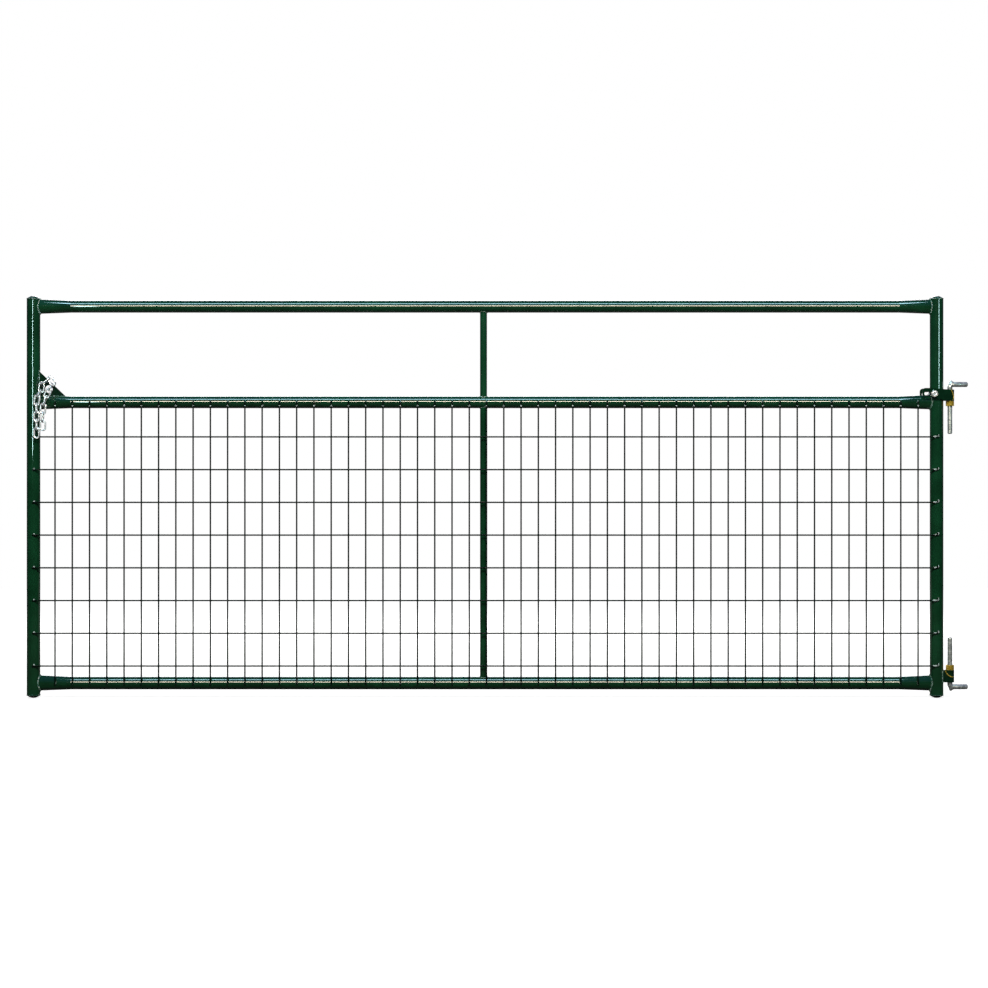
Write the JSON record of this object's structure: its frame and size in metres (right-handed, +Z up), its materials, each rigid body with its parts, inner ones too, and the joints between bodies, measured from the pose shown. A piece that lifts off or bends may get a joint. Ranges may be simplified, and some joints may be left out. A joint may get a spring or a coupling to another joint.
{
  "type": "field gate",
  "caption": "Tubular steel field gate with welded wire fill below its middle rail, swinging on J-shaped hinge bolts and closed by a chain of loose links.",
  "frame": {"origin": "on the axis of the lower hinge bolt's pin, 5 mm past its bend, where the pin enters the gate post", "axes": "+X along the pin, from the gate into the post; +Z up; the front of the gate, with the wires and chain, faces -Y"},
  "size_m": [2.9728, 0.087, 1.27],
  "materials": {
    "green_paint": "gloss powder coat",
    "bright_zinc": "bright zinc plate",
    "grey_zinc": "dull zinc plate",
    "yellow_zinc": "yellow zinc plate"
  },
  "bodies": {
    "lower_hinge_bolt": {"lower_j_bolt": "grey_zinc", "lower_hinge_nut": "yellow_zinc"},
    "gate_frame": {"left_stile": "green_paint", "right_stile": "green_paint", "left_top_cap": "green_paint", "left_foot_cap": "green_paint", "right_top_cap": "green_paint", "right_foot_cap": "green_paint", "top_rail": "green_paint", "middle_rail": "green_paint", "bottom_rail": "green_paint", "upper_post": "green_paint", "lower_post": "green_paint", "line_wires": "green_paint", "stay_wires": "green_paint", "chain_plate": "green_paint", "anchor_link": "bright_zinc", "hinge_strap": "green_paint", "strap_bolt": "bright_zinc", "strap_nut": "bright_zinc", "lower_eye": "green_paint"},
    "upper_hinge_bolt": {"upper_j_bolt": "grey_zinc", "upper_hinge_nut": "yellow_zinc"},
    "left_link_1": {"left_link_1": "bright_zinc"},
    "left_link_2": {"left_link_2": "bright_zinc"},
    "left_link_3": {"left_link_3": "bright_zinc"},
    "left_link_4": {"left_link_4": "bright_zinc"},
    "left_link_5": {"left_link_5": "bright_zinc"},
    "left_link_6": {"left_link_6": "bright_zinc"},
    "left_link_7": {"left_link_7": "bright_zinc"},
    "right_link_1": {"right_link_1": "bright_zinc"},
    "right_link_2": {"right_link_2": "bright_zinc"},
    "right_link_3": {"right_link_3": "bright_zinc"},
    "right_link_4": {"right_link_4": "bright_zinc"},
    "right_link_5": {"right_link_5": "bright_zinc"},
    "right_link_6": {"right_link_6": "bright_zinc"},
    "right_link_7": {"right_link_7": "bright_zinc"}
  },
  "joints": [
    {"name": "gate_swing", "type": "hinge", "parent": "lower_hinge_bolt", "child": "gate_frame", "pos_m": [-0.019, 0, 0.06], "axis": [0, 0, 1], "range_deg": [-90, 90]},
    {"name": "upper_bolt_turn", "type": "hinge", "parent": "gate_frame", "child": "upper_hinge_bolt", "pos_m": [-0.019, 0, 0.917], "axis": [0, 0, 1], "range_deg": [-90, 90]},
    {"name": "left_link_1_sideways", "type": "hinge", "parent": "gate_frame", "child": "left_link_1", "pos_m": [-2.88524, -0.019, 0.95504], "axis": [0, 1, 0], "range_deg": [0, 5]},
    {"name": "left_link_2_forward", "type": "hinge", "parent": "left_link_1", "child": "left_link_2", "pos_m": [-2.89002, -0.019, 0.93], "axis": [-0.9272, 0, 0.3746], "range_deg": [0, 30]},
    {"name": "left_link_3_sideways", "type": "hinge", "parent": "left_link_2", "child": "left_link_3", "pos_m": [-2.89659, -0.03405, 0.91375], "axis": [0, 1, 0], "range_deg": [0, 30]},
    {"name": "left_link_4_forward", "type": "hinge", "parent": "left_link_3", "child": "left_link_4", "pos_m": [-2.89908, -0.03405, 0.88823], "axis": [-1, 0, 0], "range_deg": [0, 30]},
    {"name": "left_link_5_sideways", "type": "hinge", "parent": "left_link_4", "child": "left_link_5", "pos_m": [-2.89908, -0.03405, 0.86253], "axis": [0, 1, 0], "range_deg": [0, 30]},
    {"name": "left_link_6_forward", "type": "hinge", "parent": "left_link_5", "child": "left_link_6", "pos_m": [-2.89908, -0.03405, 0.83683], "axis": [-1, 0, 0], "range_deg": [0, 45]},
    {"name": "left_link_7_sideways", "type": "hinge", "parent": "left_link_6", "child": "left_link_7", "pos_m": [-2.89908, -0.03405, 0.81113], "axis": [0, 1, 0], "range_deg": [-6, 45]},
    {"name": "right_link_1_sideways", "type": "hinge", "parent": "gate_frame", "child": "right_link_1", "pos_m": [-2.85976, -0.019, 0.97356], "axis": [0, 1, 0], "range_deg": [-25, 0]},
    {"name": "right_link_2_forward", "type": "hinge", "parent": "right_link_1", "child": "right_link_2", "pos_m": [-2.85315, -0.019, 0.95115], "axis": [-0.9272, 0, 0.3746], "range_deg": [0, 30]},
    {"name": "right_link_3_sideways", "type": "hinge", "parent": "right_link_2", "child": "right_link_3", "pos_m": [-2.85972, -0.03405, 0.9349], "axis": [0, 1, 0], "range_deg": [-30, 0]},
    {"name": "right_link_4_forward", "type": "hinge", "parent": "right_link_3", "child": "right_link_4", "pos_m": [-2.86998, -0.03405, 0.91139], "axis": [-0.9511, 0, 0.309], "range_deg": [0, 30]},
    {"name": "right_link_5_sideways", "type": "hinge", "parent": "right_link_4", "child": "right_link_5", "pos_m": [-2.87792, -0.03405, 0.88695], "axis": [0, 1, 0], "range_deg": [-30, 0]},
    {"name": "right_link_6_forward", "type": "hinge", "parent": "right_link_5", "child": "right_link_6", "pos_m": [-2.87917, -0.03405, 0.8613], "axis": [-1, 0, 0], "range_deg": [0, 45]},
    {"name": "right_link_7_sideways", "type": "hinge", "parent": "right_link_6", "child": "right_link_7", "pos_m": [-2.87917, -0.03405, 0.8356], "axis": [0, 1, 0], "range_deg": [-45, 0]}
  ],
  "couplings": [
    {"joint": "upper_bolt_turn", "follows": "gate_swing", "ratio": -1}
  ]
}
